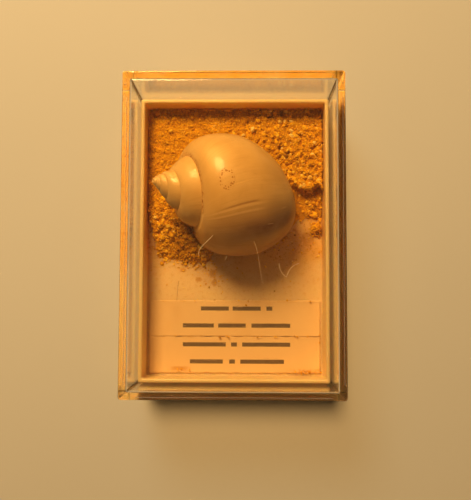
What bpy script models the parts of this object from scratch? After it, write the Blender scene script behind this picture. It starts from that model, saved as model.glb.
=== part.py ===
"""A fossil Globularia shell lying on a bed of coarse shelly sand, in a small
plastic specimen box: white base tray, clear lid, and two paper label strips.

Metres, +Z up. The origin is the middle of the box's underside. +X is to the
right, and +Y is to the back of the box, the end where the sand lies.
"""
import math

import bpy
import numpy as np
from mathutils import Vector
from mathutils.bvhtree import BVHTree

MM = 0.001
TURN = 2 * math.pi

# Box, outside sizes
BOX_WIDTH = 41 * MM
BOX_LENGTH = 60 * MM
BOX_HEIGHT = 22 * MM
BOX_CORNER = 0.5 * MM
TRAY_CORNER = 0.45 * MM
INSIDE_CORNER = 0.35 * MM
CORNER_STEPS = 4
EDGE_ROUND = 0.25 * MM
EDGE_ROUND_STEPS = 2
ROUNDED_FROM = math.radians(60)
CREASED_FROM = math.radians(40)

# The two mouldings, and the gap between pieces that touch
FLOOR_THICKNESS = 1.5 * MM
TRAY_WALL = 0.8 * MM
TRAY_HEIGHT = 8.0 * MM
LID_WALL = 1.2 * MM
LID_TOP = 1.4 * MM
GAP = 0.3 * MM

# Paper strips across the front of the floor
LABEL_WIDTH = 35.3 * MM
LABEL_DEPTH = 7.3 * MM
LABEL_THICKNESS = 0.2 * MM
LABEL_FRONT = -27.15 * MM

# Shell: how much the coiled tube grows by each turn, and where it starts and ends
GROWTH = 1.735
FIRST_TURN = -6.0
LIP_TURN = 0.056

# Shell: the section of the tube at turn 0, close to the outer lip
SECTION_OUT = 7.24 * MM
SECTION_ALONG = 19.90 * MM
SECTION_RADIUS = 8.03 * MM
SECTION_OVAL = (-0.312, -0.176)
SECTION_CORNERS = (0.092, 0.088)
PILLAR_SWELL = 1.3 * MM
PILLAR_SWELL_POWER = 3
WALL = 1.1 * MM
LIP_STEPS = 3

# Shell: how the last quarter turn differs, tucked in at the foot of the lip and fuller at the base
TUCK = 0.07
TUCK_AT, TUCK_REACH = math.radians(115), math.radians(30)
TUCK_FROM_TURN, TUCK_TURNS = -0.2, 0.25
FULLER = 0.03
FULLER_AT, FULLER_REACH = math.radians(78), math.radians(22)
FULLER_AT_TURN, FULLER_TURNS = -0.18, 0.1

# Shell: how the spire differs, with flatter whorls, worn at its back
SPIRE_FLATNESS = 0.35
SPIRE_FROM_TURN, SPIRE_TURNS = -0.75, 0.6
SUTURE = math.radians(-87)
WORN = 0.45 * MM
WORN_AT, WORN_REACH = 4.0 * MM, 1.3 * MM

# Shell: the hollow inside, the closed apex, and the mesh
HOLLOW_TURNS = 0.62
HOLLOW_END = 0.998
HOLLOW_END_POWER = 6
APEX_ROUND = 0.12
APEX_LEAST = 0.02
SHELL_ROWS = 250
SHELL_AROUND = 48
SHELL_VOXEL = 0.36 * MM
SHELL_FACES_KEPT = 0.085

# Shell: the lie of the axis, which runs from the apex to the base
APEX_X = -15.7 * MM
APEX_Y = 9.45 * MM
APEX_LEAN = 1.2 * MM
APEX_LEAN_REACH = 2.6 * MM
APEX_DRAWN_OUT = 0.35 * MM
APEX_DRAWN_REACH = 2.2 * MM
AXIS_SWING = math.radians(3.0)
AXIS_DIP = math.radians(21.7)
FLATTENING = 0.88
SHELL_LOWEST = 2.2 * MM

# Sand bed: its depth, how that rises from the front edge, and how it falls again by the walls
SAND_DEPTH = 3.0 * MM
SAND_FEATHER = 0.5 * MM
SAND_RISE = 6.0 * MM
FALL_AT_BACK = 0.8 * MM
FALL_FROM_BACK = 8.0 * MM
FALL_AT_LEFT = 1.6 * MM
FALL_FROM_LEFT = 4.0 * MM
SAND_LEAST = 0.12 * MM
SAND_CREASED_FROM = math.radians(50)
SHELL_CLEARANCE = 0.39 * MM
SHELL_FEEL = 0.55 * MM

# Sand bed: its outline. Each step along its front edge is (start, run, how far it draws back)
LOBE_FRONT = -4.7 * MM
LOBE_SLANT = 0.18
FRONT_STEPS = ((-6.5 * MM, 3.6 * MM, 4.0 * MM), (8.0 * MM, 6.0 * MM, 5.4 * MM))
LOBE_NARROWING = 2.1 * MM
LOBE_NARROWING_RUN = 14.0 * MM
LOBE_NARROWING_POWER = 6

# Sand bed: the ledge on the right, and the low waves of its top
LEDGE_X = 11.0 * MM
LEDGE_X_RUN = 2.5 * MM
LEDGE_Y = 10.2 * MM
LEDGE_Y_RUN = 0.9 * MM
LEDGE_DROP = 0.75
WAVE_HEIGHT = 0.18 * MM
WAVE_ACROSS = 1.9 * MM
WAVE_BACK = 2.3 * MM
WAVE_BEND = 2.7 * MM
SAND_CELLS_ACROSS = 42
SAND_CELLS_BACK = 30

# Sizes that follow from the ones above
TRAY_OUTER = (BOX_WIDTH - 2 * (LID_WALL + GAP), BOX_LENGTH - 2 * (LID_WALL + GAP))
TRAY_INNER = (TRAY_OUTER[0] - 2 * TRAY_WALL, TRAY_OUTER[1] - 2 * TRAY_WALL)
ON_FLOOR = FLOOR_THICKNESS + GAP


def clear_scene():
    for item in list(bpy.data.objects):
        bpy.data.objects.remove(item, do_unlink=True)


def make_finish(name, colour, roughness, alpha=1.0):
    """A plain Principled finish in the piece's own colour."""
    finish = bpy.data.materials.new(name)
    finish.use_nodes = True
    shader = finish.node_tree.nodes["Principled BSDF"]
    shader.inputs["Base Color"].default_value = (*colour, 1.0)
    shader.inputs["Roughness"].default_value = roughness
    shader.inputs["Metallic"].default_value = 0.0
    shader.inputs["Alpha"].default_value = alpha
    return finish


def add_piece(name, points, faces, finish):
    mesh = bpy.data.meshes.new(name)
    mesh.from_pydata(points, [], faces)
    mesh.validate()
    mesh.materials.append(finish)
    piece = bpy.data.objects.new(name, mesh)
    bpy.context.scene.collection.objects.link(piece)
    return piece


def grid_faces(rows, columns):
    """Quads of a grid of rows whose columns close on themselves."""
    return [
        (row * columns + column,
         row * columns + (column + 1) % columns,
         (row + 1) * columns + (column + 1) % columns,
         (row + 1) * columns + column)
        for row in range(rows - 1)
        for column in range(columns)
    ]


def smooth_step(value):
    """0 below 0, 1 above 1, and an even S between."""
    held = np.clip(value, 0.0, 1.0)
    return held * held * (3 - 2 * held)


def rounded_rectangle(width, length, corner, height):
    """A level ring with arcs at its corners, anticlockwise from the +X side."""
    ring = []
    for quarter in range(4):
        centre_x = (width / 2 - corner) * (1 if quarter in (0, 3) else -1)
        centre_y = (length / 2 - corner) * (1 if quarter in (0, 1) else -1)
        for step in range(CORNER_STEPS + 1):
            angle = (quarter + step / CORNER_STEPS) * math.pi / 2
            ring.append((centre_x + corner * math.cos(angle),
                         centre_y + corner * math.sin(angle), height))
    return ring


def loft(name, rings, finish):
    """A closed moulding through a stack of rings, capped at both ends."""
    loops = [rounded_rectangle(*ring) for ring in rings]
    count = len(loops[0])
    points = [point for loop in loops for point in loop]
    faces = grid_faces(len(loops), count)
    faces.append(tuple(reversed(range(count))))
    faces.append(tuple(range(len(points) - count, len(points))))
    piece = add_piece(name, points, faces, finish)
    rounding = piece.modifiers.new("Rounded edges", "BEVEL")
    rounding.width = EDGE_ROUND
    rounding.segments = EDGE_ROUND_STEPS
    rounding.limit_method = "ANGLE"
    rounding.angle_limit = ROUNDED_FROM
    piece.data.shade_smooth()
    piece.data.set_sharp_from_angle(angle=CREASED_FROM)
    return piece


def base_tray(finish):
    """Floor plate as wide as the lid, with upright walls that the lid slips over."""
    return loft("base_tray", [
        (BOX_WIDTH, BOX_LENGTH, BOX_CORNER, 0.0),
        (BOX_WIDTH, BOX_LENGTH, BOX_CORNER, FLOOR_THICKNESS),
        (*TRAY_OUTER, TRAY_CORNER, FLOOR_THICKNESS),
        (*TRAY_OUTER, TRAY_CORNER, TRAY_HEIGHT),
        (*TRAY_INNER, INSIDE_CORNER, TRAY_HEIGHT),
        (*TRAY_INNER, INSIDE_CORNER, FLOOR_THICKNESS),
    ], finish)


def lid(finish):
    """Clear cover, open below, that stands on the floor plate's edge."""
    inner = (BOX_WIDTH - 2 * LID_WALL, BOX_LENGTH - 2 * LID_WALL)
    return loft("lid", [
        (*inner, INSIDE_CORNER, BOX_HEIGHT - LID_TOP),
        (*inner, INSIDE_CORNER, ON_FLOOR),
        (BOX_WIDTH, BOX_LENGTH, BOX_CORNER, ON_FLOOR),
        (BOX_WIDTH, BOX_LENGTH, BOX_CORNER, BOX_HEIGHT),
    ], finish)


def label(name, front, finish):
    """A flat strip of paper whose front edge is at the given Y."""
    left, right = -LABEL_WIDTH / 2, LABEL_WIDTH / 2
    back = front + LABEL_DEPTH
    outline = [(left, front), (right, front), (right, back), (left, back)]
    low, high = ON_FLOOR, ON_FLOOR + LABEL_THICKNESS
    points = [(x, y, low) for x, y in outline] + [(x, y, high) for x, y in outline]
    faces = [(3, 2, 1, 0), (4, 5, 6, 7)]
    faces += [(side, (side + 1) % 4, (side + 1) % 4 + 4, side + 4) for side in range(4)]
    return add_piece(name, points, faces, finish)


def section_radius(angle):
    """Tube wall's distance from the section's centre, at turn 0: a circle with
    a second harmonic, which makes it oval, and a third, which squares it."""
    return SECTION_RADIUS * (
        1
        + SECTION_OVAL[0] * np.cos(2 * angle) + SECTION_OVAL[1] * np.sin(2 * angle)
        + SECTION_CORNERS[0] * np.cos(3 * angle) + SECTION_CORNERS[1] * np.sin(3 * angle)
    )


def coil(turns, angles):
    """Outer skin of the coiled tube and the line its section centres follow:
    at each turn the section is scaled by the growth to that turn and swung
    round the axis, which starts at the apex. The skin swells to the pillar.
    The lip's foot is tucked in and the base fuller by bells of angle and turn,
    the spire's whorls lose a share of what they bulge past the cone through
    their sutures, and the first turns are drawn out along the axis."""
    along = np.array([math.cos(AXIS_SWING) * math.cos(AXIS_DIP),
                      math.sin(AXIS_SWING) * math.cos(AXIS_DIP),
                      -math.sin(AXIS_DIP)])
    front = np.array([math.sin(AXIS_SWING), -math.cos(AXIS_SWING), 0.0])
    down = np.cross(along, front)
    swing = (turns * TURN)[:, None, None]
    outward = np.cos(swing) * front + np.sin(swing) * down
    inward = np.clip(-np.cos(angles), 0, 1)
    radius = section_radius(angles) + PILLAR_SWELL * inward ** PILLAR_SWELL_POWER
    last = smooth_step((turns - TUCK_FROM_TURN) / TUCK_TURNS)[:, None]
    radius = radius * (1 - TUCK * last * np.exp(-((angles - TUCK_AT) / TUCK_REACH) ** 2))
    base = np.exp(-((turns - FULLER_AT_TURN) / FULLER_TURNS) ** 2)[:, None]
    radius = radius * (1 + FULLER * base * np.exp(-((angles - FULLER_AT) / FULLER_REACH) ** 2))
    closing = np.clip((turns - FIRST_TURN) / APEX_ROUND, APEX_LEAST, 1)[:, None]
    radius = radius * np.sqrt(1 - (1 - closing) ** 2)
    size = (GROWTH ** turns)[:, None]
    suture_radius = section_radius(SUTURE)
    cone = ((SECTION_OUT + suture_radius * math.cos(SUTURE))
            / (SECTION_ALONG + suture_radius * math.sin(SUTURE)))
    flatter = SPIRE_FLATNESS * smooth_step((SPIRE_FROM_TURN - turns) / SPIRE_TURNS)[:, None]
    at_back = np.clip(outward[..., 1], 0, 1)

    def place(out, depth):
        out = out - flatter * np.clip(out - cone * depth, 0, None)
        out = out - WORN * at_back * np.exp(-((depth - WORN_AT) / WORN_REACH) ** 2) * (out > 0)
        drawn = depth - APEX_DRAWN_OUT * np.exp(-depth / APEX_DRAWN_REACH)
        points = out[..., None] * outward + drawn[..., None] * along
        points[..., 2] *= FLATTENING
        points[..., 1] += APEX_LEAN * np.exp(-(depth / APEX_LEAN_REACH) ** 2)
        return points

    skin = place((SECTION_OUT + radius * np.cos(angles)) * size,
                 (SECTION_ALONG + radius * np.sin(angles)) * size)
    centres = place(SECTION_OUT * size, SECTION_ALONG * size)
    return skin, centres


def shell_bag():
    """One closed skin like a long bag: outside from the apex to the lip, over
    the half-round lip, then back inside, a wall's thickness below the outer
    skin, to where the hollow closes."""
    angles = np.arange(SHELL_AROUND) * TURN / SHELL_AROUND
    turns = np.linspace(FIRST_TURN, LIP_TURN, SHELL_ROWS)
    skin, centres = coil(turns, angles)
    forward = np.gradient(skin, axis=0)
    round_section = np.roll(skin, -1, axis=1) - np.roll(skin, 1, axis=1)
    outward = np.cross(round_section, forward)
    outward /= np.linalg.norm(outward, axis=2, keepdims=True)
    outward *= np.sign(np.sum(outward * (skin - centres), axis=2).sum())
    ahead = np.cross(round_section[-1], outward[-1])
    ahead /= np.linalg.norm(ahead, axis=1, keepdims=True)
    ahead *= np.sign(np.sum(ahead * forward[-1]))
    bend = np.linspace(0, math.pi, LIP_STEPS + 2)[1:-1, None, None]
    lip = skin[-1] - WALL * (1 - np.cos(bend)) / 2 * outward[-1] + WALL / 2 * np.sin(bend) * ahead
    rows = int(HOLLOW_TURNS / (turns[1] - turns[0]))
    middle = centres[:-rows:-1]
    closing = np.sqrt(1 - np.linspace(0, HOLLOW_END, rows - 1)[:, None, None] ** HOLLOW_END_POWER)
    inside = middle + (skin[:-rows:-1] - WALL * outward[:-rows:-1] - middle) * closing
    bag = np.concatenate([skin, lip, inside])
    return bag + np.array([APEX_X, APEX_Y, SHELL_LOWEST - bag[..., 2].min()])


def shell(finish):
    """The bag of skin, made solid: a voxel remesh joins the whorls where they
    meet and leaves the hollow open at the aperture."""
    bag = shell_bag()
    rows, around = bag.shape[:2]
    faces = grid_faces(rows, around)
    faces.append(tuple(reversed(range(around))))
    faces.append(tuple(range((rows - 1) * around, rows * around)))
    piece = add_piece("shell", bag.reshape(-1, 3).tolist(), faces, finish)
    joined = piece.modifiers.new("Whorls joined", "REMESH")
    joined.mode = "VOXEL"
    joined.voxel_size = SHELL_VOXEL
    joined.adaptivity = 0.0
    joined.use_smooth_shade = True
    lighter = piece.modifiers.new("Fewer faces", "DECIMATE")
    lighter.ratio = SHELL_FACES_KEPT
    return piece


def sand_front(x):
    """The bed's front edge: a lobe reaching forward on the left, which slants
    back to the left wall, and draws back in two steps, under the shell and to
    the right of it."""
    edge = LOBE_FRONT + LOBE_SLANT * np.clip(FRONT_STEPS[0][0] - x, 0, None)
    for start, run, drawn_back in FRONT_STEPS:
        edge = edge + drawn_back * smooth_step((x - start) / run)
    return edge


def sand_thickness(x, y):
    """Loose bed: feathered at its front edge, lower again by the back and left
    walls, and thin on the right below a ledge, with low waves all over."""
    rise = smooth_step((y - sand_front(x)) / SAND_RISE)
    depth = SAND_FEATHER + (SAND_DEPTH - SAND_FEATHER) * rise
    by_back = FALL_AT_BACK * smooth_step(1 - (TRAY_INNER[1] / 2 - y) / FALL_FROM_BACK)
    by_left = FALL_AT_LEFT * smooth_step(1 - (TRAY_INNER[0] / 2 + x) / FALL_FROM_LEFT)
    depth -= np.maximum(by_back, by_left) * rise
    right_of_ledge = smooth_step((x - LEDGE_X) / LEDGE_X_RUN)
    below_ledge = right_of_ledge * (1 - smooth_step((y - LEDGE_Y) / LEDGE_Y_RUN))
    depth *= 1 - LEDGE_DROP * below_ledge
    waves = np.sin(x / WAVE_ACROSS + np.sin(y / WAVE_BEND)) * np.cos(y / WAVE_BACK)
    return depth + WAVE_HEIGHT * waves * rise * (1 - below_ledge)


def shell_underside(shell_piece, x, y):
    """Height of the shell's lowest face over each point of the bed, with the
    lowest of nine nearby readings kept, so that the dish clears it all round."""
    tree = BVHTree.FromObject(shell_piece, bpy.context.evaluated_depsgraph_get())
    shifts = [(across, along) for across in (-SHELL_FEEL, 0.0, SHELL_FEEL)
              for along in (-SHELL_FEEL, 0.0, SHELL_FEEL)]
    lowest = np.full(x.shape, BOX_HEIGHT)
    for spot in np.ndindex(x.shape):
        for across, along in shifts:
            start = Vector((x[spot] + across, y[spot] + along, 0.0))
            hit = tree.ray_cast(start, Vector((0, 0, 1)))[0]
            if hit is not None:
                lowest[spot] = min(lowest[spot], hit.z)
    return lowest


def sand_bed(shell_piece, finish):
    """One solid, level below, with the bed's surface above, dished where the
    shell lies."""
    across, back = np.meshgrid(np.linspace(0, 1, SAND_CELLS_ACROSS + 1),
                               np.linspace(0, 1, SAND_CELLS_BACK + 1))
    back_wall = TRAY_INNER[1] / 2 - GAP
    x = (TRAY_INNER[0] / 2 - GAP) * (2 * across - 1)
    y = sand_front(x) + (back_wall - sand_front(x)) * back
    near_front = 1 - smooth_step((y - LOBE_FRONT) / LOBE_NARROWING_RUN)
    x += LOBE_NARROWING * (1 - across) ** LOBE_NARROWING_POWER * near_front
    clear = shell_underside(shell_piece, x, y) - SHELL_CLEARANCE
    top = np.clip(clear, ON_FLOOR + SAND_LEAST, ON_FLOOR + sand_thickness(x, y))

    upper = np.stack([x, y, top], axis=-1).reshape(-1, 3)
    index = np.arange(len(upper)).reshape(x.shape)
    quads = np.stack([index[:-1, :-1], index[:-1, 1:], index[1:, 1:], index[1:, :-1]], axis=-1)
    rim = np.concatenate([index[0, :-1], index[:-1, -1], index[-1, :0:-1], index[:0:-1, 0]])
    foot = len(upper) + np.arange(len(rim))
    lower = upper[rim] * (1, 1, 0) + (0, 0, ON_FLOOR)
    walls = np.stack([foot, np.roll(foot, -1), np.roll(rim, -1), rim], axis=-1)
    faces = [tuple(face) for face in np.concatenate([quads.reshape(-1, 4), walls]).tolist()]
    faces.append(tuple(reversed(foot.tolist())))
    piece = add_piece("sand_bed", np.concatenate([upper, lower]).tolist(), faces, finish)
    piece.data.shade_smooth()
    piece.data.set_sharp_from_angle(angle=SAND_CREASED_FROM)
    return piece


clear_scene()
white_plastic = make_finish("white plastic", colour=(0.84, 0.80, 0.72), roughness=0.35)
clear_plastic = make_finish("clear plastic", colour=(0.96, 0.96, 0.95), roughness=0.06, alpha=0.2)
paper = make_finish("label paper", colour=(0.88, 0.84, 0.76), roughness=0.85)
fossil = make_finish("fossil shell", colour=(0.74, 0.64, 0.47), roughness=0.4)
sand = make_finish("ochre sand", colour=(0.60, 0.40, 0.12), roughness=0.9)

base_tray(white_plastic)
lid(clear_plastic)
label("label_lower", LABEL_FRONT, paper)
label("label_upper", LABEL_FRONT + LABEL_DEPTH + GAP, paper)
sand_bed(shell(fossil), sand)
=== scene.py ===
import math

import bpy
import numpy as np
from mathutils import Matrix, Vector
from mathutils.bvhtree import BVHTree


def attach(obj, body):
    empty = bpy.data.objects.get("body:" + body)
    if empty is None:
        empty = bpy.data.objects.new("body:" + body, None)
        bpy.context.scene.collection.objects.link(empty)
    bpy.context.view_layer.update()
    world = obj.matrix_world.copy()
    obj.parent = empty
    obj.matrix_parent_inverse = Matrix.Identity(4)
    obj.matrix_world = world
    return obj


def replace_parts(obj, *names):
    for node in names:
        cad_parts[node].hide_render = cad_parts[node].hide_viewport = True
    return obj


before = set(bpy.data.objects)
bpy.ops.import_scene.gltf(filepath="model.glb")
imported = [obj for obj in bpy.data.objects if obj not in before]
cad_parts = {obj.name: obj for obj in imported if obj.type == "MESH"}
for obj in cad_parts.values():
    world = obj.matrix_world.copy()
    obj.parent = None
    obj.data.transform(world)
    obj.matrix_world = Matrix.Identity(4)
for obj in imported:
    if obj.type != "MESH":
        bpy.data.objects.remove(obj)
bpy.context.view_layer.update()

# Base tray
# The white polystyrene moulding under everything: a floor plate as wide as the lid, with upright walls
# that the lid slips over. It is injection moulded, so its edges are eased and its faces are satin.
MM = 0.001
BOX_HALF = np.array([20.5, 30.0])
BOX_CORNER = 0.5
LEAST_CORNER = 0.35
FLOOR_TOP = 1.5
TRAY_TOP = 8.0
WALL_OUT, WALL_IN = 1.5, 2.3
CAP_INSET = 6.0
SPILT_DUST = ((-4.6, -6.6, 1.5), (-7.6, -7.9, 1.2), (-4.2, -8.6, 1.3), (-10.8, -5.9, 1.0), (15.2, 0.5, 2.6))
TRAY_WHITE = (0.84, 0.66, 0.38)
TRAY_GREYED = (0.72, 0.54, 0.29)
OCHRE_DUST = (0.58, 0.29, 0.020)
OCHRE_FILM = (0.84, 0.50, 0.07)


def eased(corners, radii, steps=4, hold=0.06):
    """Profile with every corner but the two ends rounded: a quarter arc from the incoming side to the
    outgoing one, held by a point just before it and just after it so that only the arc shades round."""
    corners = np.array(corners, float)
    sweep = np.linspace(0, np.pi / 2, steps + 1)[:, None]
    parts = [corners[:1]]
    for before, corner, after, radius in zip(corners, corners[1:], corners[2:], radii):
        come = (corner - before) / np.linalg.norm(corner - before)
        go = (after - corner) / np.linalg.norm(after - corner)
        arc = corner + radius * (go - come) + radius * (come * np.sin(sweep) - go * np.cos(sweep))
        parts += [arc[:1] - hold * come, arc, arc[-1:] + hold * go]
    return np.concatenate(parts + [corners[-1:]])


def carried_round(profile, half, corner, steps=6, hold=0.06):
    """Rings of points: each profile point (inset, height) is carried round a rounded rectangle that is
    smaller than the half sizes by its inset. A corner is centre plus radius times (cos, sin)."""
    inset, height = profile[:, :1], profile[:, 1:]
    sweep = np.concatenate([[0], np.linspace(0, 1, steps + 1), [1]])
    slide = np.concatenate([[-hold], np.zeros(steps + 1), [hold]])
    quarter = np.repeat(np.arange(4), steps + 3)
    angle = (quarter + np.tile(sweep, 4)) * np.pi / 2
    slide = np.tile(slide, 4)
    side_x = np.where((quarter == 0) | (quarter == 3), 1, -1)
    side_y = np.where(quarter < 2, 1, -1)
    radius = np.maximum(corner - inset, LEAST_CORNER)
    x = side_x * (half[0] - inset - radius) + radius * np.cos(angle) - slide * np.sin(angle)
    y = side_y * (half[1] - inset - radius) + radius * np.sin(angle) + slide * np.cos(angle)
    return np.stack([x, y, height + 0 * x], axis=-1)


def ring_faces(rows, columns):
    """Quads between neighbouring rings, and a zip of quads across the first and the last ring."""
    row, column = np.meshgrid(np.arange(rows - 1), np.arange(columns), indexing="ij")
    after = (column + 1) % columns
    sides = np.stack([row * columns + column, row * columns + after,
                      (row + 1) * columns + after, (row + 1) * columns + column], axis=-1)
    k = np.arange(columns // 2 - 1)
    cap = np.stack([k + 1, -k % columns, (-k - 1) % columns, k + 2], axis=-1)
    end = cap[:, ::-1] + (rows - 1) * columns
    return np.concatenate([sides.reshape(-1, 4), cap, end])


def piece_from(name, points, faces, finish, smooth=True):
    """A piece of the root body from points in millimetres and faces that all have as many corners. The
    volume that the faces enclose, a sum of triple products, tells whether they have to be turned over."""
    points = np.asarray(points, float).reshape(-1, 3)
    middle = points.mean(axis=0)
    a, b, c = (points[faces[:, k]] - middle for k in range(3))
    volume = np.sum(np.cross(a, b) * c)
    if faces.shape[1] == 4:
        volume += np.sum(np.cross(a, c) * (points[faces[:, 3]] - middle))
    if volume < 0:
        faces = faces[:, ::-1]
    mesh = bpy.data.meshes.new(name)
    mesh.vertices.add(len(points))
    mesh.vertices.foreach_set("co", (points * MM).astype(np.float32).ravel())
    mesh.loops.add(faces.size)
    mesh.loops.foreach_set("vertex_index", faces.astype(np.int32).ravel())
    mesh.polygons.add(len(faces))
    mesh.polygons.foreach_set("loop_start", np.arange(0, faces.size, faces.shape[1], dtype=np.int32))
    mesh.polygons.foreach_set("use_smooth", np.full(len(faces), smooth))
    mesh.update(calc_edges=True)
    mesh.materials.append(finish)
    piece = bpy.data.objects.new(name, mesh)
    bpy.context.scene.collection.objects.link(piece)
    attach(piece, "root")
    return piece


class Wire:
    """One output in a finish's nodes. Arithmetic on it adds Math nodes, in either order, as in 1 - dust."""

    def __init__(self, tree, output):
        self.tree, self.output = tree, output

    def node(self, kind, settings=None, inputs=None, output=0):
        """Adds a node of a kind: first its settings, then its inputs by name or place, as values or wires."""
        made = self.tree.nodes.new("ShaderNode" + kind)
        for name, value in (settings or {}).items():
            if name == "stops":
                ramp = made.color_ramp.elements
                (ramp[0].position, ramp[0].color), (ramp[1].position, ramp[1].color) = value[0], value[-1]
                for position, colour in value[1:-1]:
                    ramp.new(position).color = colour
            else:
                setattr(made, name, value)
        for name, value in (inputs or {}).items():
            if isinstance(value, Wire):
                self.tree.links.new(value.output, made.inputs[name])
            else:
                made.inputs[name].default_value = value
        return Wire(self.tree, made.outputs[output]) if made.outputs else None

    def math(self, operation, *values):
        return self.node("Math", {"operation": operation}, dict(enumerate(values)))

    def __add__(self, other): return self.math("ADD", self, other)
    def __radd__(self, other): return self.math("ADD", other, self)
    def __sub__(self, other): return self.math("SUBTRACT", self, other)
    def __rsub__(self, other): return self.math("SUBTRACT", other, self)
    def __mul__(self, other): return self.math("MULTIPLY", self, other)
    def __rmul__(self, other): return self.math("MULTIPLY", other, self)
    def __truediv__(self, other): return self.math("DIVIDE", self, other)
    def __rtruediv__(self, other): return self.math("DIVIDE", other, self)
    def __pow__(self, other): return self.math("POWER", self, other)
    def __neg__(self): return self.math("MULTIPLY", self, -1.0)
    def __abs__(self): return self.math("ABSOLUTE", self)


def new_finish(name):
    """An empty material, and a wire with the place on the piece in millimetres."""
    finish = bpy.data.materials.new(name)
    finish.use_nodes = True
    tree = finish.node_tree
    tree.nodes.clear()
    metres = Wire(tree, None).node("TexCoord", output="Object")
    place = metres.node("VectorMath", {"operation": "SCALE"}, {"Vector": metres, "Scale": 1 / MM})
    return finish, place


def noise(place, size, detail=2.0, rough=0.5):
    """Smooth random value, about 0.5, whose patches are this many millimetres wide."""
    return place.node("TexNoise", {}, {"Vector": place, "Scale": 1 / size, "Detail": detail, "Roughness": rough})


def fade(value, start, end):
    """0 at the start, 1 at the end, an even S between, whichever of the two is larger."""
    bounds = {"Value": value, "From Min": start, "From Max": end}
    return value.node("MapRange", {"interpolation_type": "SMOOTHSTEP"}, bounds)


def blend(share, under, over):
    """Colour between two colours, by a share from 0 to 1."""
    colours = [c if isinstance(c, Wire) else (*c, 1.0) for c in (under, over)]
    return share.node("Mix", {"data_type": "RGBA"}, {0: share, 6: colours[0], 7: colours[1]}, 2)


def parts_of(place):
    """The x, y and z of a place."""
    return [place.node("SeparateXYZ", {}, {0: place}, k) for k in range(3)]


def relief(height, depth, normal=None):
    """Bump of a height from 0 to 1 that stands for this many millimetres."""
    inputs = {"Height": height, "Distance": depth * MM, "Strength": 1.0}
    if normal is not None:
        inputs["Normal"] = normal
    return height.node("Bump", {}, inputs)


def close_finish(finish, place, **inputs):
    """Ends a finish in one Principled shader, with underscores in the names of its sockets for spaces."""
    named = {name.replace("_", " "): value for name, value in inputs.items()}
    for name in ("Base Color", "Coat Tint", "Sheen Tint"):
        if name in named and not isinstance(named[name], Wire):
            named[name] = (*named[name], 1.0)
    shader = place.node("BsdfPrincipled", {}, named)
    place.node("OutputMaterial", {}, {"Surface": shader})
    return finish


def tray_finish():
    """Ivory satin plastic, greyer by handling, with hairline scratches and ochre dust by the sand."""
    finish, place = new_finish("white moulded plastic")
    x, y, z = parts_of(place)
    worn = noise(place, 9.0, 4.0)
    colour = blend(fade(worn, 0.42, 0.72) * 0.45, TRAY_WHITE, TRAY_GREYED)
    stretched = place.node("Mapping", {}, {"Vector": place, "Rotation": (0, 0, 0.5), "Scale": (0.15, 3.0, 1.0)})
    scratch = fade(noise(stretched, 0.6, 3.0, 0.7), 0.66, 0.74)
    near_sand = fade(y, -10.0, -1.0) * fade(z, 9.0, 2.0)
    dust = fade(noise(place, 0.45, 4.0, 0.6) + near_sand * 0.10, 0.66, 0.76) * near_sand
    film = fade(noise(place, 5.0, 3.0), 0.2, 0.7) * near_sand * 0.8
    within = fade(abs(x), 18.45, 18.15) * fade(abs(y), 27.95, 27.65)
    dirt_line = fade(noise(place, 0.8, 4.0, 0.7), 0.5, 0.7) * fade(z, FLOOR_TOP + 0.9, FLOOR_TOP) * within * 0.3
    spilt = None
    for middle_x, middle_y, reach in SPILT_DUST:
        patch = fade(((x - middle_x) ** 2.0 + (y - middle_y) ** 2.0) ** 0.5 / reach, 1.0, 0.2)
        spilt = patch if spilt is None else spilt.math("MAXIMUM", spilt, patch)
    spilt = fade(noise(place, 0.7, 4.0, 0.6) + spilt * 0.35, 0.62, 0.80) * spilt * fade(z, 3.0, 2.0)
    colour = blend(film, colour, OCHRE_FILM)
    colour = blend(spilt * 0.7, colour, OCHRE_DUST)
    colour = blend(dust * 0.75, colour, OCHRE_DUST)
    colour = blend(dirt_line, colour, OCHRE_DUST)
    rough = 0.36 + 0.22 * worn + 0.3 * dust + 0.1 * scratch
    height = noise(place, 0.5, 3.0) * 0.4 - scratch * 0.5
    return close_finish(finish, place, Base_Color=colour, Roughness=rough, IOR=1.55,
                        Subsurface_Weight=0.7, Subsurface_Radius=(1.0, 0.75, 0.3), Subsurface_Scale=0.0022,
                        Normal=relief(height, 0.012))


tray_profile = eased(
    [(CAP_INSET, 0.0), (0, 0), (0, FLOOR_TOP), (WALL_OUT, FLOOR_TOP), (WALL_OUT, TRAY_TOP),
     (WALL_IN, TRAY_TOP), (WALL_IN, FLOOR_TOP), (CAP_INSET, FLOOR_TOP)],
    [0.25, 0.25, 0.12, 0.28, 0.28, 0.2])
tray_rings = carried_round(tray_profile, BOX_HALF, BOX_CORNER)
tray = piece_from("tray_moulding", tray_rings, ring_faces(*tray_rings.shape[:2]), tray_finish())
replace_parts(tray, "base_tray")

# Paper strips
# Two strips of matt office paper across the front of the floor, cut by hand and laid edge to edge. They
# carry plain printed bars in place of words, and are soiled with ochre dust where sand has rubbed them.
STRIP_HALF_WIDTH = 17.65
STRIP_DEPTH = 7.45
STRIP_LOW = 1.8
STRIP_THICK = 0.2
STRIP_FRONTS = {"label_lower": -27.15, "label_upper": -19.66}
PAPER_PALE = (0.87, 0.66, 0.37)
PAPER_SHADE = (0.80, 0.59, 0.31)
INK = (0.045, 0.030, 0.016)
BAR_HALF_HEIGHT = 0.42
BARS = [(-13.9, -7.0, -1.2), (-13.9, -0.4, 5.4), (-13.9, 6.6, 7.8),
        (-17.4, -10.7, -4.3), (-17.4, -3.4, 2.3), (-17.4, 3.5, 11.5),
        (-21.3, -10.7, -1.8), (-21.3, -0.7, 0.5), (-21.3, 1.6, 11.5),
        (-24.8, -9.2, -2.4), (-24.8, -1.1, 0.1), (-24.8, 1.2, 10.2)]


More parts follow.
